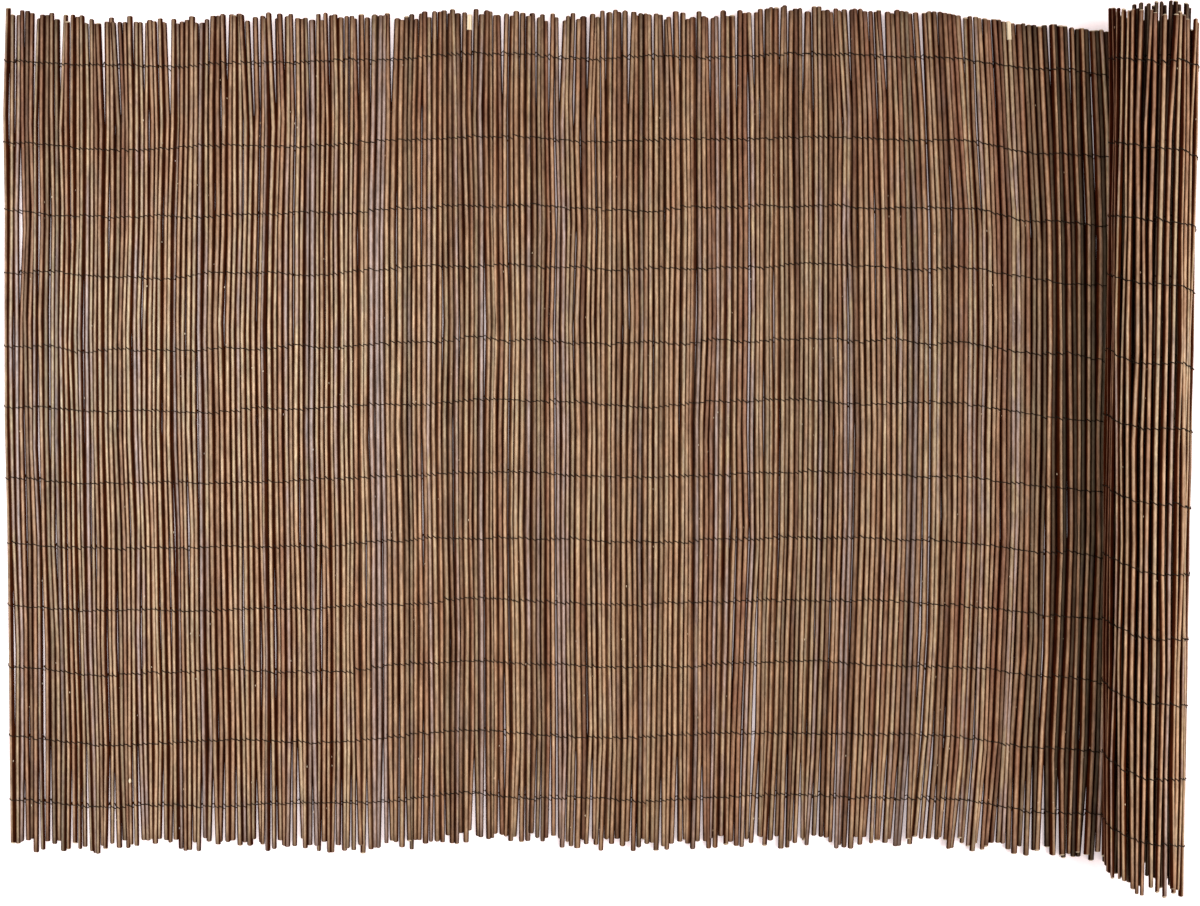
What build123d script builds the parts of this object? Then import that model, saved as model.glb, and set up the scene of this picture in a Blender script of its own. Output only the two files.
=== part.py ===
"""Willow fence: a mat of willow rods bound with wire, part unrolled on the ground, the rest in a roll."""
import math
import os
import random
from collections import namedtuple

from build123d import *

# Willow rods, side by side along the mat
rod_length = 1500.0
rod_diameter = 8.2
rod_diameter_spread = 1.4
top_scatter = 8.0
bottom_scatter = 12.0

# Space between the bark of neighbouring rods, on the flat and where the mat is rolled up
flat_gap = 0.9
flat_gap_spread = 0.7
rolled_gap = 3.0
rolled_gap_spread = 1.2
wide_gap = 3.6
wide_gap_places = [60.0, 905.0, 985.0, 1335.0, 1650.0]

# Seam that joins neighbouring rods to one wall, and the slits through it
seam_thickness = 3.6
slit_count = 110
slit_width = 2.0
slit_rows = [2, 3, 4, 5, 6]
slit_margin = 9.0
bottom_slit_weight = 4

# Binding wire: rows across the rods, with a strand in front of them and one behind
wire_size = 1.2
wire_rows = 12
row_margin = 84.0
row_strays = [0.0, -28.0, -30.0, -16.0, -28.0, -17.0, -25.0, -21.0, -12.0, -3.0, -8.0, 0.0]
wire_seat_gap = 0.2

# How the mat lies: the flat stretch, then a loose roll
flat_length = 2027.0
rolled_length = 970.0
core_diameter = 58.0
turn_gap = 0.3
sides_per_turn = 20

# Distance from the free end, lift off the ground and sideways drift of the rods on the flat
flat_lie = [
    (0.0, 3.0, 15.0),
    (170.0, 0.0, 4.0),
    (520.0, 6.0, 9.0),
    (860.0, 2.0, 25.0),
    (1140.0, 7.0, 16.0),
    (1400.0, 3.0, 24.0),
    (1680.0, 6.0, 19.0),
    (1880.0, 1.0, -4.0),
]
foot_drift = -16.0

# Turn of the roll, in degrees from its foot, and sideways drift of the rods there
rolled_lie = [(0.0, foot_drift), (110.0, -36.0), (180.0, -29.0), (295.0, 2.0), (450.0, -14.0), (700.0, -14.0)]

# Half the mat's thickness: thickest rod, seat and wire
thin_radius = (rod_diameter - rod_diameter_spread) / 2
thick_radius = (rod_diameter + rod_diameter_spread) / 2
wire_offset = thick_radius + wire_seat_gap + wire_size / 2
mat_half = wire_offset + wire_size / 2

# The roll's radius at its foot follows from its core and from the length that is wound on it
turn_step = 360.0 / sides_per_turn
turn_spacing = (2 * mat_half + turn_gap) / math.cos(math.radians(turn_step / 2))
core_radius = core_diameter / 2 + mat_half
foot_radius = math.sqrt(core_radius**2 + turn_spacing * rolled_length / math.pi)

# The origin is on the ground, under the middle of the whole piece
roll_reach = foot_radius - turn_spacing / 4 + mat_half
origin_shift = (flat_length + roll_reach) / 2

Corner = namedtuple("Corner", "distance x z drift")
Rod = namedtuple("Rod", "distance x z heading radius gap drift low high")
random_rods = random.Random(11)
random_slits = random.Random(5)


def between(value, table, column):
    """The value of one column of a table, at a place between its rows."""
    for low, high in zip(table, table[1:]):
        if value <= high[0]:
            break
    share = (value - low[0]) / (high[0] - low[0])
    return low[column] + min(share, 1.0) * (high[column] - low[column])


def mat_line():
    """Corners of the line through the rods' middles, along the flat and round the roll."""
    corners = []
    for distance, lift, drift in flat_lie:
        if distance < flat_length - rod_diameter:
            corners.append(Corner(distance, distance - origin_shift, mat_half + lift, drift))
    foot_x = flat_length - origin_shift
    corners.append(Corner(flat_length, foot_x, mat_half, foot_drift))
    turn = 0.0
    while corners[-1].distance < flat_length + rolled_length:
        turn += turn_step
        radius = foot_radius - turn_spacing * turn / 360
        x = foot_x + radius * math.sin(math.radians(turn))
        z = mat_half + foot_radius - radius * math.cos(math.radians(turn))
        distance = corners[-1].distance + math.hypot(x - corners[-1].x, z - corners[-1].z)
        corners.append(Corner(distance, x, z, between(turn, rolled_lie, 1)))
    return corners


line = mat_line()
foot = next(index for index, corner in enumerate(line) if corner.distance == flat_length)
mat_length = line[-1].distance


def heading(index):
    """Direction of the mat's line after one of its corners."""
    return math.atan2(line[index + 1].z - line[index].z, line[index + 1].x - line[index].x)


def lay_rods():
    """Every rod of the mat, from its free end to the core of the roll."""
    rods = []
    end_room = wire_size + wire_seat_gap
    radius = random_rods.uniform(thin_radius, thick_radius)
    distance = end_room + radius
    while distance + radius + end_room < mat_length:
        corner = max(i for i in range(len(line) - 1) if line[i].distance <= distance)
        x, z, drift = (between(distance, line, column) for column in (1, 2, 3))
        low = drift - rod_length / 2 + random_rods.uniform(-bottom_scatter, bottom_scatter)
        high = drift + rod_length / 2 + random_rods.uniform(-top_scatter, top_scatter)
        next_radius = random_rods.uniform(thin_radius, thick_radius)
        spread = random_rods.uniform(-1.0, 1.0)
        gap = flat_gap + spread * flat_gap_spread
        if distance > flat_length:
            gap = rolled_gap + spread * rolled_gap_spread
        if any(distance <= place < distance + radius + gap + next_radius for place in wide_gap_places):
            gap = wide_gap
        rods.append(Rod(distance, x, z, heading(corner), radius, gap, drift, low, high))
        distance += radius + gap + next_radius
        radius = next_radius
    return rods


rods = lay_rods()
flat_count = sum(rod.distance < flat_length for rod in rods)


def row_height(row):
    """Height of a wire row above the rods' middles, counted from the top."""
    spacing = (rod_length - 2 * row_margin) / (wire_rows - 1)
    return rod_length / 2 - row_margin - row * spacing + row_strays[row % len(row_strays)]


def beside(rod, along, across):
    """A point beside a rod's middle, in x and z."""
    x = rod.x + along * math.cos(rod.heading) - across * math.sin(rod.heading)
    z = rod.z + along * math.sin(rod.heading) + across * math.cos(rod.heading)
    return x, z


def seam(index, half):
    """The two edges, above and below, where a rod meets the next one. The mat's last rods meet none."""
    rod = rods[max(index, 0)]
    if index < 0:
        return beside(rod, -rod.radius, half), beside(rod, -rod.radius, -half)
    if index == len(rods) - 1:
        return beside(rod, rod.radius, half), beside(rod, rod.radius, -half)
    after = rods[index + 1]
    edges = []
    for across in (half, -half):
        x, z = beside(rod, rod.radius + rod.gap / 2, across)
        after_x, after_z = beside(after, -after.radius - rod.gap / 2, across)
        edges.append(((x + after_x) / 2, (z + after_z) / 2))
    return edges


def bar(outline, low, high):
    """A bar of one outline that runs along the rods."""
    with BuildPart() as piece:
        with BuildSketch(Plane.XZ.offset(-high)):
            with BuildLine():
                Polyline(*outline, close=True)
            make_face()
        extrude(amount=high - low)
    return piece.part


def ridge(index):
    """A rod as a six-sided bar, which shares its two seams with its neighbours."""
    rod = rods[index]
    left_above, left_below = seam(index - 1, seam_thickness / 2)
    right_above, right_below = seam(index, seam_thickness / 2)
    crown, keel = beside(rod, 0, rod.radius), beside(rod, 0, -rod.radius)
    return bar([crown, right_above, right_below, keel, left_below, left_above], rod.low, rod.high)


def slit(index, upper, lower):
    """What is cut from the seam after a rod, from one wire row to another or to the rods' ends."""
    rod = rods[index]
    middle = rod.radius + rod.gap / 2
    half = max(slit_width, rod.gap) / 2
    outline = [beside(rod, middle - half, thick_radius), beside(rod, middle + half, thick_radius)]
    outline += [beside(rod, middle + half, -thick_radius), beside(rod, middle - half, -thick_radius)]
    high = rod.drift + rod_length / 2 + top_scatter + slit_margin
    if upper >= 0:
        high = rod.drift + row_height(upper) - slit_margin
    low = rod.drift - rod_length / 2 - bottom_scatter - slit_margin
    if lower < wire_rows:
        low = rod.drift + row_height(lower) + slit_margin
    return bar(outline, low, high)


def wire_path(first, last, closed_end):
    """A wire's corners: its front strand from the foot of the roll to the closed end, and the other back."""
    front, behind = [], []
    for index in range(first, last + 1):
        x, z, drift = line[index].x, line[index].z, line[index].drift
        before = heading(max(index - 1, first))
        after = heading(min(index, last - 1))
        if index == foot:
            before = after = 0.0
        if index == closed_end:
            inset = wire_size / 2 if closed_end == first else -wire_size / 2
            x += inset * math.cos(after)
            z += inset * math.sin(after)
        across = Vector(-math.sin(before) - math.sin(after), 0, math.cos(before) + math.cos(after))
        reach = across.normalized() * (wire_offset / abs(math.cos((after - before) / 2)))
        front.append(Vector(x, drift, z) + reach)
        behind.append(Vector(x, drift, z) - reach)
    if closed_end == first:
        front.reverse()
        behind.reverse()
    middle = (front[-1] + behind[-1]) / 2
    return front + [middle] + behind[::-1]


def wire_loop(path):
    """A square wire along a path, mitred at its corners and cut upright at its two ends under the roll."""
    last = len(path) - 1
    bearings = []
    for start, end in zip(path, path[1:]):
        bearings.append(Vector(end.X - start.X, 0, end.Z - start.Z).normalized())
    half = wire_size / 2
    rings = []
    for index, corner in enumerate(path):
        into, out = bearings[max(index - 1, 0)], bearings[min(index, last - 1)]
        along = (into + out).normalized()
        if index in (0, last):
            along = Vector(math.copysign(1, along.X), 0, 0)
        section = Plane(origin=corner, x_dir=(0, 1, 0), z_dir=along)
        tall = half / along.dot(out)
        corners = [(-half, -tall), (half, -tall), (half, tall), (-half, tall)]
        rings.append([section.from_local_coords((u, v, 0)) for u, v in corners])
    outlines = [rings[0][::-1], rings[-1]]
    for near, far in zip(rings, rings[1:]):
        for side in range(4):
            after = (side + 1) % 4
            outlines.append([near[side], near[after], far[after]])
            outlines.append([near[side], far[after], far[side]])
    return Solid(Shell([Face(Wire.make_polygon(outline)) for outline in outlines]))


os.makedirs("parts", exist_ok=True)

# Slits: spread over the flat stretch, each past a few spaces between wires, some of them out at the rods' ends
slits = []
for number in range(slit_count):
    space = round((number + 0.5) * (flat_count - 1) / slit_count - 0.5)
    rows_long = min(random_slits.choice(slit_rows), wire_rows - 1)
    bottom_start = wire_rows - rows_long
    upper = random_slits.choice([-1, *range(bottom_start)] + bottom_slit_weight * [bottom_start])
    slits.append(slit(space, upper, upper + rows_long))

# Unrolled stretch of the mat
flat_ridges = [ridge(index) for index in range(flat_count)]
with BuildPart() as unrolled_mat:
    add(flat_ridges)
    add(slits, mode=Mode.SUBTRACT)
unrolled_mat.part.label = "unrolled_mat"
export_step(unrolled_mat.part, "parts/unrolled_mat.step")

# Rolled stretch of the mat
rolled_ridges = [ridge(index) for index in range(flat_count, len(rods))]
with BuildPart() as rolled_mat:
    add(rolled_ridges)
rolled_mat.part.label = "rolled_mat"
export_step(rolled_mat.part, "parts/rolled_mat.step")

# Rows of binding wire, on the flat and on the roll
flat_loop = wire_loop(wire_path(0, foot, 0))
rolled_loop = wire_loop(wire_path(foot, len(line) - 1, len(line) - 1))
for row in range(wire_rows):
    for stretch, loop in (("panel_wire", flat_loop), ("roll_wire", rolled_loop)):
        with BuildPart() as wire:
            with Locations((0, row_height(row), 0)):
                add(loop)
        wire.part.label = f"{stretch}_{row + 1:02d}"
        export_step(wire.part, f"parts/{wire.part.label}.step")
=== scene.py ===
import math
import random
from collections import namedtuple

import bpy
import numpy as np
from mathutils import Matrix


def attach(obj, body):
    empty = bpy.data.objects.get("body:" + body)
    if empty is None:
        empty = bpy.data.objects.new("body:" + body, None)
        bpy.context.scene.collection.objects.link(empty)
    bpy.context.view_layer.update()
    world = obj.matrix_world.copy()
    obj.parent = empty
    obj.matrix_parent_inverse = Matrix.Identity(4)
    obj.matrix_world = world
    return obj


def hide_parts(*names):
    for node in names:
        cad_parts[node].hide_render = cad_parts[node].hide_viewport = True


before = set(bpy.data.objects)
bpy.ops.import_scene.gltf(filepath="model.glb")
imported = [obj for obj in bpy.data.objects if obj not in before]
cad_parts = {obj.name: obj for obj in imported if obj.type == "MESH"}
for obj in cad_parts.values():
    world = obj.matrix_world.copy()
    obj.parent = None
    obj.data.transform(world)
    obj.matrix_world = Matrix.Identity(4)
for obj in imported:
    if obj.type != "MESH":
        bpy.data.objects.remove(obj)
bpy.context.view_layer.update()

# Willow rods of the unrolled stretch: about 220 thin unpeeled sticks, cut to one length and laid side by
# side. Wire holds them at twelve rows, and between the rows each stick keeps its own bend.
rod_length = 1.5
half_length = rod_length / 2
thin_radius, thick_radius = 0.0034, 0.0048
top_scatter, bottom_scatter = 0.008, 0.012
flat_gap, flat_gap_spread = 0.0009, 0.0007
rolled_gap, rolled_gap_spread = 0.0030, 0.0012
wide_gap = 0.0036
wide_gap_places = [0.060, 0.905, 0.985, 1.335, 1.650]
end_room = 0.0014

# The stretch's own line: distance from the free end, lift off the floor and drift of the rods lengthways
flat_length = 2.027
rolled_length = 0.970
mat_half = 0.0062
flat_lie = [
    (0.000, 0.003, 0.015),
    (0.170, 0.000, 0.004),
    (0.520, 0.006, 0.009),
    (0.860, 0.002, 0.025),
    (1.140, 0.007, 0.016),
    (1.400, 0.003, 0.024),
    (1.680, 0.006, 0.019),
    (1.880, 0.001, -0.004),
    (2.027, 0.000, -0.016),
]

# The roll's line: turn from its foot, in degrees, and drift of the rods there. It is wound on an open core.
rolled_lie = [(0, -0.016), (110, -0.036), (180, -0.029), (295, 0.002), (450, -0.014), (700, -0.014)]
roll_trim = [(0, 0.0), (90, -0.003), (180, 0.002), (250, -0.001), (300, -0.008), (1200, -0.008)]
turn_step = 18.0
turn_clearance = 0.0003
open_core = 0.029
turn_spacing = (2 * mat_half + turn_clearance) / math.cos(math.radians(turn_step / 2))
core_radius = open_core + mat_half
foot_radius = math.sqrt(core_radius**2 + turn_spacing * rolled_length / math.pi)
origin_shift = (flat_length + foot_radius - turn_spacing / 4 + mat_half) / 2
foot_x = flat_length - origin_shift


def eased(value, stations, column=1):
    """A value that swings softly from one station to the next."""
    for low, high in zip(stations, stations[1:]):
        if value <= high[0]:
            break
    share = min(max((value - low[0]) / (high[0] - low[0]), 0.0), 1.0)
    share = share * share * (3 - 2 * share)
    return low[column] + share * (high[column] - low[column])


def spiral(turn):
    """Middle of the mat in the roll, in x and z, at a turn from its foot."""
    radius = foot_radius - turn_spacing * turn / 360
    angle = math.radians(turn)
    return foot_x + radius * math.sin(angle), mat_half + foot_radius - radius * math.cos(angle)


roll_marks = [flat_length]
while roll_marks[-1] < flat_length + rolled_length:
    turn = turn_step * len(roll_marks)
    roll_marks.append(roll_marks[-1] + math.dist(spiral(turn - turn_step), spiral(turn)))


def lie_at(distance):
    """Place in x and z, heading and drift of the mat at a distance from its free end."""
    if distance <= flat_length:
        lift, drift = eased(distance, flat_lie, 1), eased(distance, flat_lie, 2)
        return distance - origin_shift, mat_half + lift, 0.0, drift
    mark = max(index for index in range(len(roll_marks) - 1) if roll_marks[index] <= distance)
    share = (distance - roll_marks[mark]) / (roll_marks[mark + 1] - roll_marks[mark])
    turn = turn_step * (mark + share)
    return *spiral(turn), math.radians(turn), eased(turn, rolled_lie)


# What a stick grew into: small kinks at its buds, slow bends that its neighbours share for the most part,
# swellings and a taper. A corner of each six-sided stick faces its neighbour, so that few gaps show.
bud_parts, bud_stray = 13, 0.025
kink, bend_reach, rise_reach = 0.0018, 0.0012, 0.0014
bend_lengths, reach_spread = (0.45, 0.9), (0.4, 1.5)
neighbour_share, rolled_share = 0.85, 0.4
swell_reach, taper_reach = 0.07, 0.07
corner_turn, spin_stray = math.radians(30), 0.1
Rod = namedtuple(
    "Rod", "order distance x z heading radius drift low high filling shares bends rises swells taper spin"
)

# How far the rod ends stray and where they were trimmed, by distance from the free end
top_level = [(0.0, 1.0), (1.40, 0.9), (1.62, 0.25), (2.03, 0.25), (2.10, 0.4), (9.0, 0.4)]
top_trim = [
    (0.0, -0.004), (0.16, 0.0), (0.55, 0.0), (0.66, 0.008), (0.76, 0.010), (0.87, 0.007), (0.98, 0.013),
    (1.09, 0.003), (1.20, 0.006), (1.30, 0.010), (1.41, 0.0), (1.65, 0.002), (1.72, 0.005), (1.80, 0.002),
    (9.0, 0.002),
]
bottom_trim = [
    (0.0, 0.003), (0.14, 0.004), (0.23, 0.012), (0.44, 0.011), (0.55, 0.008), (0.66, -0.003), (0.76, 0.0),
    (0.87, 0.011), (0.98, 0.003), (1.30, 0.003), (1.41, -0.003), (1.52, 0.0), (1.63, 0.007), (1.72, 0.004),
    (1.86, 0.009), (1.95, 0.007), (2.03, 0.003), (9.0, 0.0),
]
cutting = random.Random(11)
growth = random.Random(23)


def grown(reach):
    """Sideways offsets of a stick at its buds: slow bends with a small kink at each."""
    length, start = growth.uniform(*bend_lengths), growth.uniform(0, 2 * math.pi)
    reach *= growth.uniform(*reach_spread)
    waves = [2 * math.pi * part / bud_parts / length + start for part in range(bud_parts + 1)]
    return np.array([reach * math.sin(wave) + growth.gauss(0, kink) for wave in waves])


def lay_rods():
    """Every rod, from the free end of the mat to the core of the roll, where the solids have it."""
    rods = []
    own_share = math.sqrt(1 - neighbour_share**2)
    bends = grown(bend_reach)
    radius = cutting.uniform(thin_radius, thick_radius)
    distance = end_room + radius
    gap_before = flat_gap
    while distance + radius + end_room < roll_marks[-1]:
        x, z, heading, drift = lie_at(distance)
        low = drift - half_length + cutting.uniform(-bottom_scatter, bottom_scatter)
        high = drift + half_length + eased(distance, top_level) * cutting.uniform(-top_scatter, top_scatter)
        low += eased(distance, bottom_trim)
        high -= eased(distance, top_trim)
        next_radius = cutting.uniform(thin_radius, thick_radius)
        spread = cutting.uniform(-1.0, 1.0)
        gap = flat_gap + spread * flat_gap_spread
        if distance > flat_length:
            gap = rolled_gap + spread * rolled_gap_spread
            high -= eased(math.degrees(heading), roll_trim)
        filling = (gap_before + gap) / 4
        gap_before = gap
        if any(distance <= place < distance + radius + gap + next_radius for place in wide_gap_places):
            gap = wide_gap
        shares = np.linspace(0, 1, bud_parts + 1)
        shares[1:-1] += [growth.uniform(-bud_stray, bud_stray) for _ in shares[1:-1]]
        if distance > flat_length:
            bends = rolled_share * bends + grown(bend_reach)
        else:
            bends = neighbour_share * bends + own_share * grown(bend_reach)
        rises = grown(rise_reach)
        swells = np.array([growth.uniform(1 - swell_reach, 1 + swell_reach) for _ in shares])
        taper = growth.uniform(-taper_reach, taper_reach)
        spin = heading + corner_turn + growth.uniform(-spin_stray, spin_stray)
        place = (len(rods), distance, x, z, heading, radius, drift, low, high, filling)
        rods.append(Rod(*place, shares, bends.copy(), rises, swells, taper, spin))
        distance += radius + gap + next_radius
        radius = next_radius
    return rods


rods = lay_rods()

# Past the last wires the ends lean together in bunches, with a gap between one bunch and the next
bunch_sizes = (1, 2, 2, 3, 3, 4, 5)
top_pull = [(0.0, 0.13), (1.40, 0.11), (1.60, 0.02), (9.0, 0.02)]
bottom_pull = [(0.0, 0.10), (9.0, 0.10)]
top_lean, bottom_lean = 0.0016, 0.0020


def bunch(end, pull, lean):
    """Leans one end of the rods together in bunches of a few."""
    start = 0
    while start < len(rods):
        members = rods[start : start + growth.choice(bunch_sizes)]
        middle = sum(rod.distance for rod in members) / len(members)
        for rod in members:
            rod.bends[end] += eased(rod.distance, pull) * (middle - rod.distance) + growth.gauss(0, lean)
        start += len(members)


bunch(-1, top_pull, top_lean)
bunch(0, bottom_pull, bottom_lean)
flat_rods = [rod for rod in rods if rod.distance < flat_length]
rolled_rods = [rod for rod in rods if rod.distance >= flat_length]

# The mat's own shape: it fans a little, sways at its free end and bows beside the roll, where its rods lie
# higher and lower by turns. The roll is thicker at its top, and leans and bows a little.
fan = 0.0085
sway_lie = [
    (0.0, 0.0015), (0.10, 0.0030), (0.40, 0.0036), (0.68, 0.0025), (0.95, 0.0005), (1.2, 0.0), (9.0, 0.0),
]
sway_length, sway_start = 1.257, 0.679
end_draw = [(0.0, 0.0), (2.03, 0.0), (2.12, -0.003), (9.0, -0.003)]
bow_top = [
    (0.0, 0.0), (1.40, 0.001), (1.58, 0.021), (1.80, 0.025), (1.89, 0.031), (1.96, 0.024), (2.08, 0.0),
    (9.0, 0.0),
]
bow_bottom = [
    (0.0, 0.0), (1.05, 0.002), (1.43, 0.015), (1.60, 0.021), (1.80, 0.024), (1.89, 0.012), (1.96, 0.014),
    (2.08, 0.0), (9.0, 0.0),
]
bow_middle, bow_shift = 0.05, 0.35
roll_bow = [(0.0, 0.0), (2.03, 0.0), (2.12, 0.002), (9.0, 0.002)]
roll_bow_middle = 0.4
roll_lean = [(0.0, 0.0), (2.03, 0.0), (2.12, 0.004), (9.0, 0.004)]
roll_taper = 0.035
strip_lift = 0.0018
strip_lie = [(0.0, 0.0), (1.80, 0.0), (1.88, strip_lift), (2.00, strip_lift), (2.03, 0.0), (9.0, 0.0)]

# Places where two sticks stand apart and the floor shows: distance, height, reach along the rods and width
parting_reach = 0.018
partings = [
    (0.022, 0.63, 0.10, 0.0055),
    (0.031, 0.42, 0.14, 0.0062),
    (0.900, 0.74, 0.12, 0.0050),
    (0.900, -0.47, 0.16, 0.0055),
    (0.864, 0.27, 0.15, 0.0048),
    (1.312, -0.34, 0.20, 0.0050),
    (1.357, -0.52, 0.20, 0.0054),
    (1.384, 0.21, 0.12, 0.0048),
    (1.645, -0.33, 0.16, 0.0058),
    (0.330, -0.16, 0.14, 0.0044),
    (0.514, 0.30, 0.14, 0.0044),
    (0.640, -0.30, 0.16, 0.0044),
    (1.749, 0.54, 0.14, 0.0046),
    (1.733, 0.75, 0.06, 0.0046),
]


def rod_axis(rod, along):
    """Middle of a rod, in x and z, at heights along it: its own bends and the mat's lie."""
    buds = rod.low + rod.shares * (rod.high - rod.low)
    bend, rise = np.interp(along, buds, rod.bends), np.interp(along, buds, rod.rises)
    rise = rise + eased(rod.distance, strip_lie) * (1 if rod.order % 2 else -1)
    for distance, height, reach, width in partings:
        away = rod.distance - distance
        share = np.clip(1 - ((along - height) / reach) ** 2, 0, 1)
        bend = bend + math.copysign(width / 2, away) * math.exp(-abs(away) / parting_reach) * share
    x = rod.x + bend * math.cos(rod.heading) - rise * math.sin(rod.heading)
    z = rod.z + bend * math.sin(rod.heading) + rise * math.cos(rod.heading)
    level = along / half_length
    if rod.distance > flat_length:
        size = 1 + roll_taper * level
        x, z = foot_x + (x - foot_x) * size, z * size
    bow = np.where(along > bow_middle, eased(rod.distance, bow_top), eased(rod.distance, bow_bottom))
    x = x - bow * ((along - bow_middle) / half_length) ** 2 + bow_shift * eased(rod.distance, bow_top)
    x = x + eased(rod.distance, roll_bow) * (level**2 - roll_bow_middle)
    x = x + eased(rod.distance, roll_lean) * along
    x = x + eased(rod.distance, end_draw) + fan * rod.x * along
    x = x + eased(rod.distance, sway_lie) * np.cos(2 * math.pi * (sway_start - along) / sway_length)
    return x, np.maximum(z, rod_radius(rod, along))


# The sticks on the flat lie tight against each other, and all of them are a little thinner at their very ends
overlap = [(0.0, 0.0007), (1.72, 0.0007), (1.80, 0.0012), (9.0, 0.0012)]
end_reach = 0.09
top_thinning, bottom_thinning = 0.08, 0.14


def rod_radius(rod, along):
    """Radius of a rod at heights along it."""
    radius = rod.radius
    if rod.distance < flat_length:
        radius += rod.filling + eased(rod.distance, overlap)
    buds = rod.low + rod.shares * (rod.high - rod.low)
    near_top = np.clip(1 - (rod.high - along) / end_reach, 0, 1)
    near_bottom = np.clip(1 - (along - rod.low) / end_reach, 0, 1)
    thinning = 1 - top_thinning * near_top - bottom_thinning * near_bottom
    return radius * (1 + rod.taper * along / half_length) * np.interp(along, buds, rod.swells) * thinning


def linear(code):
    """Colour of a hex code in linear light, opaque."""
    parts = [int(code[start : start + 2], 16) / 255 for start in (0, 2, 4)]
    return [part / 12.92 if part < 0.04045 else ((part + 0.055) / 1.055) ** 2.4 for part in parts] + [1.0]


class Nodes:
    """A material's nodes, added and joined in short lines."""

    def __init__(self, name):
        self.material = bpy.data.materials.new(name)
        self.material.use_nodes = True
        self.tree = self.material.node_tree
        self.shader = self.tree.nodes["Principled BSDF"]

    def add(self, kind, inputs=None, **settings):
        node = self.tree.nodes.new("ShaderNode" + kind)
        for key, value in settings.items():
            setattr(node, key, value)
        for socket, value in (inputs or {}).items():
            self.set(node.inputs[socket], value)
        return node

    def set(self, socket, value):
        if isinstance(value, bpy.types.NodeSocket):
            self.tree.links.new(value, socket)
        else:
            socket.default_value = value

    def noise(self, stretch, scale, detail=2.0):
        place = self.add("TexCoord").outputs["Object"]
        place = self.add("Mapping", {"Vector": place, "Scale": stretch}).outputs["Vector"]
        return self.add("TexNoise", {"Vector": place, "Scale": scale, "Detail": detail}).outputs["Fac"]

    def between(self, value, low, high, to_low=0.0, to_high=1.0):
        ends = {"Value": value, "From Min": low, "From Max": high, "To Min": to_low, "To Max": to_high}
        return self.add("MapRange", ends).outputs["Result"]

    def math(self, operation, first, second=0.0):
        node = self.add("Math", operation=operation)
        self.set(node.inputs[0], first)
        self.set(node.inputs[1], second)
        return node.outputs[0]

    def away(self, value, middle):
        return self.math("ABSOLUTE", self.math("SUBTRACT", value, middle))

    def mix(self, share, first, second, blend="MIX"):
        node = self.add("Mix", data_type="RGBA", blend_type=blend)
        for socket, value in zip((0, 6, 7), (share, first, second)):
            self.set(node.inputs[socket], value)
        return node.outputs[2]

    def grey(self, value):
        return self.add("CombineColor", {0: value, 1: value, 2: value}).outputs[0]

    def ramp(self, value, stops):
        node = self.add("ValToRGB", {"Fac": value})
        bands = node.color_ramp.elements
        while len(bands) < len(stops):
            bands.new(0.5)
        for band, (place, code) in zip(bands, stops):
            band.position = place
            band.color = linear(code)
        return node.outputs["Color"]

    def attribute(self, name):
        return self.add("Attribute", attribute_name=name).outputs["Fac"]

    def split(self, vector):
        return self.add("SeparateXYZ", {"Vector": vector}).outputs


# Bark: each stick has its own tone, from red-brown over tan to a mauve grey. It is redder and a little darker
# towards the top, paler across the middle of its length, which is painted light, and greyer at the free end.
bark = Nodes("willow_bark")
where = bark.split(bark.add("TexCoord").outputs["Object"])
towards_top = bark.between(where["Y"], 0.25, 0.72)
painted_light_band = bark.between(bark.away(where["Y"], 0.12), 0.05, 0.40, 1.0, 0.0)
# The free end: greyer bark, and deeper painted shade in the grooves between the sticks
grey_and_shaded_end = bark.between(where["X"], -0.95, -0.10, 1.0, 0.0)
bark_tones = [
    (0.00, "8B6450"), (0.25, "A07C63"), (0.50, "B19277"),
    (0.70, "B39B7F"), (0.85, "A3887B"), (1.00, "A8938C"),
]
mottle = bark.noise((1.0, 0.16, 1.0), 70.0)
region = bark.noise((1.0, 0.7, 1.0), 2.6)
tone = bark.math("ADD", bark.attribute("tone"), bark.between(mottle, 0.3, 0.7, -0.18, 0.18))
tone = bark.math("ADD", tone, bark.between(region, 0.3, 0.7, -0.10, 0.10))
tone = bark.math("SUBTRACT", tone, bark.math("MULTIPLY", towards_top, 0.14))
skin = bark.ramp(tone, bark_tones)
bloom = bark.noise((1.0, 0.3, 1.0), 38.0)
skin = bark.mix(bark.between(bloom, 0.55, 0.75, 0.0, 0.3), skin, linear("9A8B85"))
# Painted light: the bark paler and cooler across the middle of the sticks' length
skin = bark.mix(painted_light_band, skin, (1.02, 1.09, 1.13, 1.0), "MULTIPLY")
skin = bark.mix(grey_and_shaded_end, skin, (0.97, 1.06, 1.15, 1.0), "MULTIPLY")

# Fine streaks, blotches and flecks along the bark make it lighter and darker
streak = bark.noise((1.0, 0.02, 1.0), 900.0, 3.0)
blotch = bark.noise((1.0, 0.22, 1.0), 120.0)
fleck = bark.noise((1.0, 0.35, 1.0), 320.0)
# Each rod's lightness attribute carries painted light and shade as well
light = bark.math("MULTIPLY", bark.attribute("lightness_and_painted_shade"), bark.between(streak, 0.25, 0.75, 0.80, 1.16))
light = bark.math("MULTIPLY", light, bark.between(blotch, 0.3, 0.7, 0.72, 1.22))
light = bark.math("MULTIPLY", light, bark.between(fleck, 0.35, 0.65, 0.86, 1.12))
# Darker towards the top of the sticks
light = bark.math("MULTIPLY", light, bark.between(towards_top, 0.0, 1.0, 1.0, 0.90))
skin = bark.mix(1.0, skin, bark.grey(light), "MULTIPLY")
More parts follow.
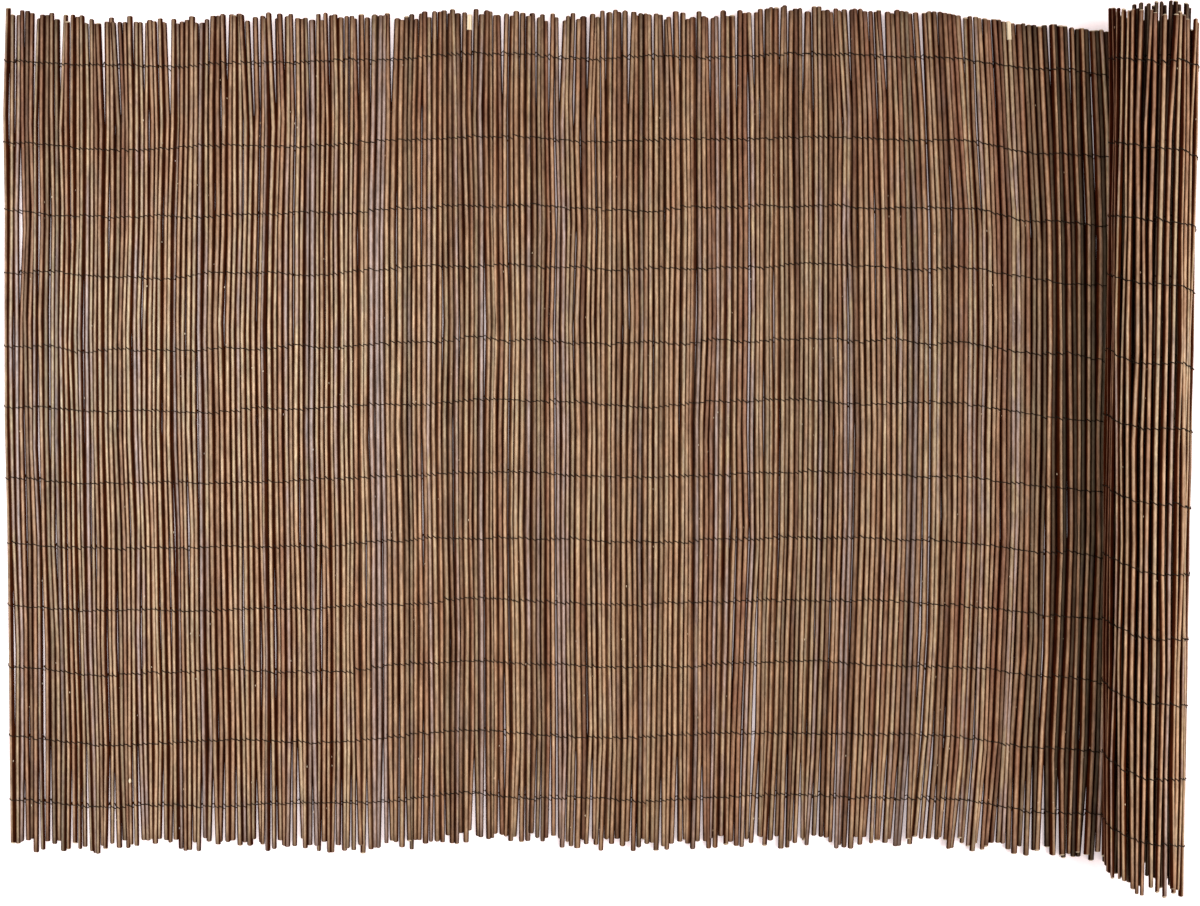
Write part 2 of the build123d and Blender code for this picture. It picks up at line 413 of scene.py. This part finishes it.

# Painted shade in the grooves: a stick's flanks, where it meets its neighbours, are darkened, with a little
# dirt, and its crest stays lighter. There is more of this painted shade at the free end and in the roll's
# shadow beside it, less on the roll. The tips are darker too. On the UV map, X is the turn round the stick
# and Y the way to its end.
roll_side, roll_front = 0.86, 0.92
on_stick = bark.split(bark.add("UVMap", uv_map="UVMap").outputs["UV"])
flank = bark.math("ABSOLUTE", bark.math("COSINE", bark.math("MULTIPLY", on_stick["X"], 2 * math.pi)))
# Painted shade deeper towards the free end and in the roll's shadow at roll_side, shallower on the roll from
# roll_front
flank = bark.math("ADD", flank, bark.between(where["X"], -0.9, 0.7, 0.09, -0.04))
flank = bark.math("ADD", flank, bark.between(bark.away(where["X"], roll_side), 0.03, 0.08, 0.14, 0.0))
flank = bark.math("ADD", flank, bark.between(where["X"], roll_front, 0.96, 0.0, -0.06))
# How deep the painted shade lies in the grooves: it varies in patches, and is deepest at the free end and
# towards the roll
painted_shade_depth = bark.between(bark.noise((1.0, 0.12, 1.0), 55.0), 0.35, 0.65, 0.84, 1.0)
painted_shade_depth = bark.math("MAXIMUM", painted_shade_depth, bark.between(grey_and_shaded_end, 0.0, 0.4))
painted_shade_depth = bark.math("MAXIMUM", painted_shade_depth, bark.between(where["X"], 0.60, 0.68))
tip = bark.between(on_stick["Y"], 0.0, 0.03, 0.5, 0.0)
painted_shade_and_dark_tips = bark.math("MAXIMUM", bark.math("MULTIPLY", bark.between(flank, 0.31, 0.71), painted_shade_depth), tip)
# Painted shade: the flanks darken a little from just off the crest, which stays lighter, and deeply in the
# grooves
skin = bark.mix(bark.between(flank, 0.05, 0.5), skin, linear("F2DEC8"), "MULTIPLY")
skin = bark.mix(painted_shade_and_dark_tips, skin, linear("5A3116"), "MULTIPLY")

# Pale wood shows at the cut ends, at torn buds and where a tip is peeled. The bark has a faint sheen.
wood = bark.ramp(streak, [(0.3, "D8B890"), (0.7, "FFF0D4")])
peel = bark.attribute("peel")
peeled = bark.math("GREATER_THAN", bark.math("MULTIPLY", where["Y"], peel), bark.math("MULTIPLY", peel, peel))
skin = bark.mix(bark.math("MAXIMUM", bark.attribute("cut"), peeled), skin, wood)
bark.set(bark.shader.inputs["Base Color"], skin)
bark.set(bark.shader.inputs["Roughness"], bark.between(flank, 0.2, 0.7, 0.45, 0.95))
bark.set(bark.shader.inputs["Specular IOR Level"], 0.05)
bump = bark.add("Bump", {"Strength": 0.35, "Distance": 0.0004, "Height": streak})
bark.set(bark.shader.inputs["Normal"], bump.outputs["Normal"])

# One stick to copy: six-sided, divided along its length, with its cut ends rounded off
stick_radius = 0.0041
stick_rings = 8
end_round, end_margin = 0.0015, 0.001
look_names = ("tone", "lightness_and_painted_shade", "cut", "peel")
bpy.ops.object.select_all(action="DESELECT")
bpy.ops.mesh.primitive_circle_add(
    vertices=6,
    radius=stick_radius,
    fill_type="NGON",
    location=(0, -half_length, 0),
    rotation=(math.radians(90), 0, 0),
)
stick = bpy.context.object
bpy.ops.object.transform_apply(location=True, rotation=True, scale=False)
bpy.ops.object.mode_set(mode="EDIT")
bpy.ops.mesh.select_all(action="SELECT")
for _ in range(stick_rings):
    bpy.ops.mesh.extrude_region_move(TRANSFORM_OT_translate={"value": (0, rod_length / stick_rings, 0)})
bpy.ops.mesh.select_all(action="SELECT")
bpy.ops.mesh.normals_make_consistent(inside=False)
bpy.ops.mesh.select_all(action="DESELECT")
bpy.ops.object.mode_set(mode="OBJECT")
for edge in stick.data.edges:
    ends = [stick.data.vertices[index].co for index in edge.vertices]
    edge.select = all(abs(end.y) > half_length - end_margin for end in ends)
bpy.ops.object.mode_set(mode="EDIT")
bpy.ops.mesh.bevel(offset=end_round, segments=1)
bpy.ops.object.mode_set(mode="OBJECT")
stick.data.materials.append(bark.material)
stick.data.uv_layers[0].name = "UVMap"
for look in look_names:
    stick.data.attributes.new(look, "FLOAT", "FACE")
stick_places = np.array([vertex.co for vertex in stick.data.vertices])
stick_loops = np.array([loop.vertex_index for loop in stick.data.loops])
end_faces = np.array([abs(face.normal.y) for face in stick.data.polygons])

# Turn of each face corner round the stick, without a jump inside a face
stick_turns = np.zeros(len(stick_loops))
for face in stick.data.polygons:
    middle = math.atan2(face.center.z, face.center.x)
    for loop in face.loop_indices:
        corner = stick.data.vertices[stick_loops[loop]].co
        turn = math.atan2(corner.z, corner.x) - middle
        stick_turns[loop] = middle + math.atan2(math.sin(turn), math.cos(turn))

# One bud scar to copy: a small flat bump, sunk a little into the bark
scar_size = (0.0010, 0.0020, 0.0008)
scar_seat = 0.93
bpy.ops.object.select_all(action="DESELECT")
bpy.ops.mesh.primitive_ico_sphere_add(subdivisions=1, radius=1.0)
scar = bpy.context.object
scar.scale = scar_size
bpy.ops.object.transform_apply(location=False, rotation=False, scale=True)
scar.data.materials.append(bark.material)
scar.data.uv_layers[0].name = "UVMap"
for look in look_names:
    scar.data.attributes.new(look, "FLOAT", "FACE")
scar_places = np.array([vertex.co for vertex in scar.data.vertices])
scar_turns = np.full((len(scar.data.loops), 2), 0.25)


def copy_of(pattern, places, turns, **looks):
    """A copy of a small piece with a mesh of its own, its points in new places."""
    mesh = pattern.data.copy()
    mesh.vertices.foreach_set("co", places.ravel())
    mesh.attributes["UVMap"].data.foreach_set("vector", turns.astype(np.float32).ravel())
    for look, value in looks.items():
        values = np.ascontiguousarray(np.broadcast_to(np.float32(value), len(mesh.polygons)))
        mesh.attributes[look].data.foreach_set("value", values)
    piece = bpy.data.objects.new(pattern.name, mesh)
    bpy.context.collection.objects.link(piece)
    return piece


def stick_at(rod, height):
    """Middle, in x and z, and radius of a rod's stick at a height between its rings."""
    shares = np.interp(np.linspace(0, 1, stick_rings + 1), np.linspace(0, 1, bud_parts + 1), rod.shares)
    rings = rod.low + shares * (rod.high - rod.low)
    return [float(np.interp(height, rings, line)) for line in (*rod_axis(rod, rings), rod_radius(rod, rings))]


def grow_scar(rod, height, round_turn, size, looks):
    """A bud scar on a rod."""
    x, z, radius = stick_at(rod, height)
    outward = radius * scar_seat + scar_places[:, 2] * size
    sideways = scar_places[:, 0] * size
    across_x, across_z = math.cos(round_turn), math.sin(round_turn)
    places = np.stack(
        [
            x + outward * across_x - sideways * across_z,
            height + scar_places[:, 1] * size,
            z + outward * across_z + sideways * across_x,
        ],
        axis=1,
    )
    return copy_of(scar, places, scar_turns, **looks)


# Looks by distance along the mat or by turn of the roll: how grey the bark is, how light it is, with painted
# light and shade, and where on the stick the lit crest between its painted shade lies
rod_tones, tone_weights, tone_stray = (0.12, 0.3, 0.45, 0.62, 0.8, 0.95), (3, 6, 8, 6, 4, 1), 0.07
# Painted shade: some rods darker, as if lying low in their neighbours' shade
light_share, light_bark, low_rod_painted_shade = 0.85, (0.88, 1.10), (0.58, 0.78)
# Painted light and shade along the mat: darker in the roll's shadow just beside it, lighter on the rods right
# by the roll and on a band before it
painted_light_along_mat = [
    (0.0, 0.97), (0.7, 1.0), (1.48, 1.04), (1.60, 1.12), (1.80, 1.10), (1.85, 0.82), (1.91, 0.88),
    (1.96, 1.45), (9.0, 1.45),
]
# Painted shade on the sunk rods of the strip beside the roll, painted light on the raised ones
sunk_painted_shade, raised_painted_light = 0.68, 0.55
# Painted shade on the roll's inner turns, painted light on its outer turn, by turn
inner_turn, inner_painted_shade = math.radians(300), 0.4
outer_painted_light = [(0, 1.3), (100, 1.6), (150, 1.4), (200, 1.42), (250, 1.75), (300, 1.75), (1200, 1.75)]
rusty_turns, rusty_tone = (math.radians(258), math.radians(278)), 0.0
greyer = [(0.0, 0.15), (0.6, 0.12), (0.9, 0.03), (9.0, 0.0)]
lit_side = [(0.0, 10.0), (0.9, 8.0), (1.45, -8.0), (2.03, -6.0), (2.10, 0.0), (9.0, 0.0)]
crest_stray = 13.0

# Ends and scars: the slant of the cuts, the odd peeled tip, and the paleness of the scars
end_share, end_slant = 0.49, (-0.2, 0.6)
cap_facing, rim_facing, cap_paleness = 0.9, 0.3, 0.7
never_peeled = 10.0
peel_share, peel_reach = 0.015, (0.008, 0.035)
bare_tip, bare_reach = 1.816, 0.034
scar_counts, scar_margin, scar_sizes = (1, 2, 2, 3), 0.03, (0.6, 1.2)
scar_turn_span = (-0.15, 1.15)
flat_scars, rolled_scars = (0.0, 0.2, 0.5), (0.1, 0.4, 0.8)


def rod_looks(rod):
    """Tone of a rod's bark, its lightness with painted light and shade, and the height past which it is
    peeled.
    """
    tone = growth.choices(rod_tones, tone_weights)[0] + growth.uniform(-tone_stray, tone_stray)
    lightness_and_painted_shade = growth.uniform(*light_bark) if growth.random() < light_share else growth.uniform(*low_rod_painted_shade)
    tone += eased(rod.distance, greyer)
    # Painted shade inside the roll, painted light on its outer turn, and painted light and shade along the
    # mat and on the rods beside the roll
    if rod.heading > inner_turn:
        lightness_and_painted_shade *= inner_painted_shade
    elif rod.distance > flat_length:
        lightness_and_painted_shade *= eased(math.degrees(rod.heading), outer_painted_light)
    else:
        strip = raised_painted_light if rod.order % 2 else -sunk_painted_shade
        lightness_and_painted_shade *= eased(rod.distance, painted_light_along_mat) * (1 + strip * eased(rod.distance, strip_lie) / strip_lift)
    if rusty_turns[0] < rod.heading < rusty_turns[1]:
        tone = rusty_tone
    peel = never_peeled
    if growth.random() < peel_share:
        peel = growth.choice((rod.high - growth.uniform(*peel_reach), rod.low + growth.uniform(*peel_reach)))
    if abs(rod.distance - bare_tip) < rod.radius:
        peel = rod.high - bare_reach
    return {"tone": tone, "lightness_and_painted_shade": lightness_and_painted_shade, "peel": peel}


def grow_rod(rod, rim_paleness):
    """A rod and its bud scars, where the rod lies in the mat."""
    share = stick_places[:, 1] / rod_length + 0.5
    share = np.interp(share, np.linspace(0, 1, bud_parts + 1), rod.shares)
    along = rod.low + share * (rod.high - rod.low)
    x, z = rod_axis(rod, along)
    size = rod_radius(rod, along) / stick_radius
    turned_x = stick_places[:, 0] * math.cos(rod.spin) - stick_places[:, 2] * math.sin(rod.spin)
    turned_z = stick_places[:, 0] * math.sin(rod.spin) + stick_places[:, 2] * math.cos(rod.spin)
    slant = growth.uniform(*end_slant) * (np.abs(share - 0.5) > end_share) * np.sign(share - 0.5)
    places = np.stack([x + turned_x * size, along - slant * turned_z, z + turned_z * size], axis=1)
    from_end = np.minimum(along - rod.low, rod.high - along)
    crest = eased(rod.distance, lit_side) + growth.gauss(0, crest_stray)
    around = stick_turns + rod.spin - rod.heading + math.radians(crest)
    turns = np.stack([around / (2 * math.pi), from_end[stick_loops]], axis=1)
    looks = rod_looks(rod)
    cut = np.where(end_faces > cap_facing, cap_paleness, np.where(end_faces > rim_facing, rim_paleness, 0.0))
    pieces = [copy_of(stick, places, turns, cut=cut, **looks)]
    for _ in range(growth.choice(scar_counts)):
        height = growth.uniform(rod.low + scar_margin, rod.high - scar_margin)
        looks["cut"] = growth.choice(flat_scars if rod.distance < flat_length else rolled_scars)
        turn = rod.heading + growth.uniform(*scar_turn_span) * math.pi
        pieces.append(grow_scar(rod, height, turn, growth.uniform(*scar_sizes), looks))
    return pieces


crease = math.radians(64)


def joined(pieces, name):
    """All these pieces as one, smooth round the sticks."""
    bpy.ops.object.select_all(action="DESELECT")
    for piece in pieces:
        piece.select_set(True)
    bpy.context.view_layer.objects.active = pieces[0]
    bpy.ops.object.join()
    whole = bpy.context.object
    whole.name = whole.data.name = name
    bpy.ops.object.shade_smooth_by_angle(angle=crease)
    return whole


# The rods of the flat, some with pale rims at their ends, and one with a torn bud
pale_share, pale_rim, dark_rim = [(0.0, 0.15), (1.50, 0.2), (1.65, 0.7), (9.0, 0.7)], 0.6, 0.0
torn_place, torn_height, torn_turn, torn_size = 0.221, -0.616, math.radians(80), 2.6
torn_looks = {"tone": 0.5, "lightness_and_painted_shade": 1.0, "cut": 1.0, "peel": never_peeled}
flat_pieces = []
for rod in flat_rods:
    rim = pale_rim if growth.random() < eased(rod.distance, pale_share) else dark_rim
    flat_pieces += grow_rod(rod, rim)
    if abs(rod.distance - torn_place) < rod.radius:
        flat_pieces.append(grow_scar(rod, torn_height, torn_turn, torn_size, torn_looks))
unrolled_rods = joined(flat_pieces, "unrolled_rods")
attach(unrolled_rods, "root")
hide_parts("unrolled_mat")

# Willow rods of the roll: the same sticks, wound up with the mat in nearly three turns. The wire spreads them
# on the outside of the roll, so the gaps are wider there and the turn below shows dark between them.
rolled_pale_share, rolled_pale_rim, rolled_dark_rim = 0.7, 0.7, 0.2
rolled_pieces = []
for rod in rolled_rods:
    rim = rolled_pale_rim if growth.random() < rolled_pale_share else rolled_dark_rim
    rolled_pieces += grow_rod(rod, rim)
rolled_up_rods = joined(rolled_pieces, "rolled_up_rods")
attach(rolled_up_rods, "root")
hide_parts("rolled_mat")
bpy.data.objects.remove(stick)
bpy.data.objects.remove(scar)

# Binding wire: in each of the twelve rows one thin dark wire is folded round the first rod, and its two
# strands are twined on along the mat, over one rod and under the next, crossing in every gap.
wire_radius, wire_seat = 0.0009, 0.9
wire_rows = 12
row_margin = 0.084
row_strays = [0.0, -0.028, -0.030, -0.016, -0.028, -0.017, -0.025, -0.021, -0.012, -0.003, -0.008, 0.0]
row_jitter = 0.0010
waver_count, waver_reach, waver_length, waver_turn = 3, (0.0006, 0.0020), (0.1, 0.5), 6.28
cross_reach, cross_spread = 0.0036, (0.1, 1.7)
twining = random.Random(41)

# A strand's way past a rod: steps across it and out of it, in the rod's radius, and its slant along the rod
twine_steps = ((-1.08, 0.0, 1.0), (-0.68, 0.74, 0.5), (0.0, 1.0, 0.0), (0.68, 0.74, -0.5))

wire_coat = Nodes("dark_wire")
grain = wire_coat.noise((1.0, 1.0, 1.0), 400.0)
coat = wire_coat.ramp(grain, [(0.35, "140D08"), (0.65, "2A1E14")])
wire_coat.set(wire_coat.shader.inputs["Base Color"], coat)
wire_coat.set(wire_coat.shader.inputs["Roughness"], wire_coat.between(grain, 0.3, 0.7, 0.6, 0.85))
wire_coat.set(wire_coat.shader.inputs["Specular IOR Level"], 0.1)


def row_line(row):
    """Height of a wire row along the mat, without the mat's drift: straight, with a little waver."""
    spacing = (rod_length - 2 * row_margin) / (wire_rows - 1)
    middle = half_length - row_margin - row * spacing + row_strays[row]
    wavers = [
        (twining.uniform(*waver_reach), twining.uniform(*waver_length), twining.uniform(0, waver_turn))
        for _ in range(waver_count)
    ]

    def height_at(distance):
        return middle + sum(
            reach * math.sin(waver_turn * distance / length + start) for reach, length, start in wavers
        )

    return height_at


def strands(row):
    """Points of a row's two strands from rod to rod, the first at each rod in the gap before it."""
    height_at = row_line(row)
    paths = ([], [])
    for index, rod in enumerate(rods):
        height = height_at(rod.distance) + rod.drift + twining.gauss(0, row_jitter)
        x, z, radius = stick_at(rod, height)
        reach = radius + wire_radius * wire_seat
        for strand, path in enumerate(paths):
            side = 1 if (index + strand) % 2 else -1
            slant = cross_reach * twining.uniform(*cross_spread)
            for across, up, lift in twine_steps:
                sideways, outward = across * radius, side * up * reach
                point_x = x + sideways * math.cos(rod.heading) - outward * math.sin(rod.heading)
                point_z = z + sideways * math.sin(rod.heading) + outward * math.cos(rod.heading)
                path.append((point_x, height + lift * slant * side, max(point_z, wire_radius)))
    return paths


def wire(name, paths):
    """A wire that follows paths, as a mesh."""
    curve = bpy.data.curves.new(name, "CURVE")
    curve.dimensions = "3D"
    curve.bevel_depth = wire_radius
    curve.bevel_resolution = 0
    curve.use_fill_caps = True
    for path in paths:
        spline = curve.splines.new("POLY")
        spline.points.add(len(path) - 1)
        spline.points.foreach_set("co", np.array([(*point, 1.0) for point in path]).ravel())
    piece = bpy.data.objects.new(name, curve)
    bpy.context.collection.objects.link(piece)
    bpy.ops.object.select_all(action="DESELECT")
    piece.select_set(True)
    bpy.context.view_layer.objects.active = piece
    bpy.ops.object.convert(target="MESH")
    bpy.ops.object.shade_smooth()
    piece = bpy.context.object
    piece.data.materials.append(wire_coat.material)
    return piece


for row in range(wire_rows):
    over, under = strands(row)
    split = len(twine_steps) * len(flat_rods)
    panel_wire = wire(f"panel_twine_{row + 1:02d}", [under[split::-1] + over[1 : split + 1]])
    roll_wire = wire(f"roll_twine_{row + 1:02d}", [over[split:], under[split:]])
    for piece, node in ((panel_wire, f"panel_wire_{row + 1:02d}"), (roll_wire, f"roll_wire_{row + 1:02d}")):
        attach(piece, "root")
        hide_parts(node)

# Floor: a plain white studio floor under the mat, which takes its shadow. The camera sees it whiter than the
# light that it throws back on the rods.
floor_white, floor_bounce, floor_glow = "FFEFF0", "C9B8A8", 0.4
bpy.ops.object.select_all(action="DESELECT")
bpy.ops.mesh.primitive_plane_add(size=14.0)
floor = bpy.context.object
floor.name = "studio_floor"
paper = Nodes("white_floor")
seen = paper.add("LightPath")
straight = paper.math("MAXIMUM", seen.outputs["Is Camera Ray"], seen.outputs["Is Glossy Ray"])
straight = paper.math("MAXIMUM", straight, seen.outputs["Is Transmission Ray"])
paper_colour = paper.mix(straight, linear(floor_bounce), linear(floor_white))
paper.set(paper.shader.inputs["Base Color"], paper_colour)
paper.set(paper.shader.inputs["Emission Color"], linear(floor_white))
paper.set(paper.shader.inputs["Emission Strength"], paper.math("MULTIPLY", straight, floor_glow))
paper.set(paper.shader.inputs["Roughness"], 0.9)
paper.set(paper.shader.inputs["Specular IOR Level"], 0.1)
floor.data.materials.append(paper.material)

# Light: a soft round lamp above the left half, a broad far one from the right, 28 degrees off the vertical,
# and an even white room, which the camera sees at full white.
bpy.ops.object.light_add(type="AREA", location=(-0.8, 0.12, 2.6))
softbox = bpy.context.object
softbox.data.shape = "DISK"
softbox.data.size = 1.0
softbox.data.spread = math.radians(62)
softbox.data.energy = 5.0
softbox.data.color = (0.96, 0.98, 1.0)
bpy.ops.object.light_add(type="SUN", rotation=(0, math.radians(28), 0))
side_lamp = bpy.context.object
side_lamp.data.energy = 1.8
side_lamp.data.color = (1.0, 1.0, 0.98)
side_lamp.data.angle = 0.6
room = bpy.data.worlds.new("white_room")
bpy.context.scene.world = room
room.use_nodes = True
room_tree = room.node_tree
room_light = room_tree.nodes["Background"]
room_light.inputs["Color"].default_value = (1.0, 1.0, 1.0, 1.0)
room_seen = room_tree.nodes.new("ShaderNodeLightPath")
room_level = room_tree.nodes.new("ShaderNodeMapRange")
room_level.inputs["To Min"].default_value = 0.65
room_level.inputs["To Max"].default_value = 1.0
room_straight = room_seen.outputs["Is Camera Ray"]
for ray in ("Is Glossy Ray", "Is Transmission Ray"):
    either = room_tree.nodes.new("ShaderNodeMath")
    either.operation = "MAXIMUM"
    room_tree.links.new(room_straight, either.inputs[0])
    room_tree.links.new(room_seen.outputs[ray], either.inputs[1])
    room_straight = either.outputs[0]
room_tree.links.new(room_straight, room_level.inputs["Value"])
room_tree.links.new(room_level.outputs["Result"], room_light.inputs["Strength"])

# Camera: straight above the mat, as the photograph was taken
bpy.ops.object.camera_add(location=(0.019, -0.0266, 2.3), rotation=(0, 0, 0))
camera = bpy.context.object
camera.data.lens = 38.15
camera.data.sensor_width = 36.0
camera.data.sensor_fit = "HORIZONTAL"
bpy.context.scene.camera = camera
bpy.context.scene.view_settings.view_transform = "Standard"
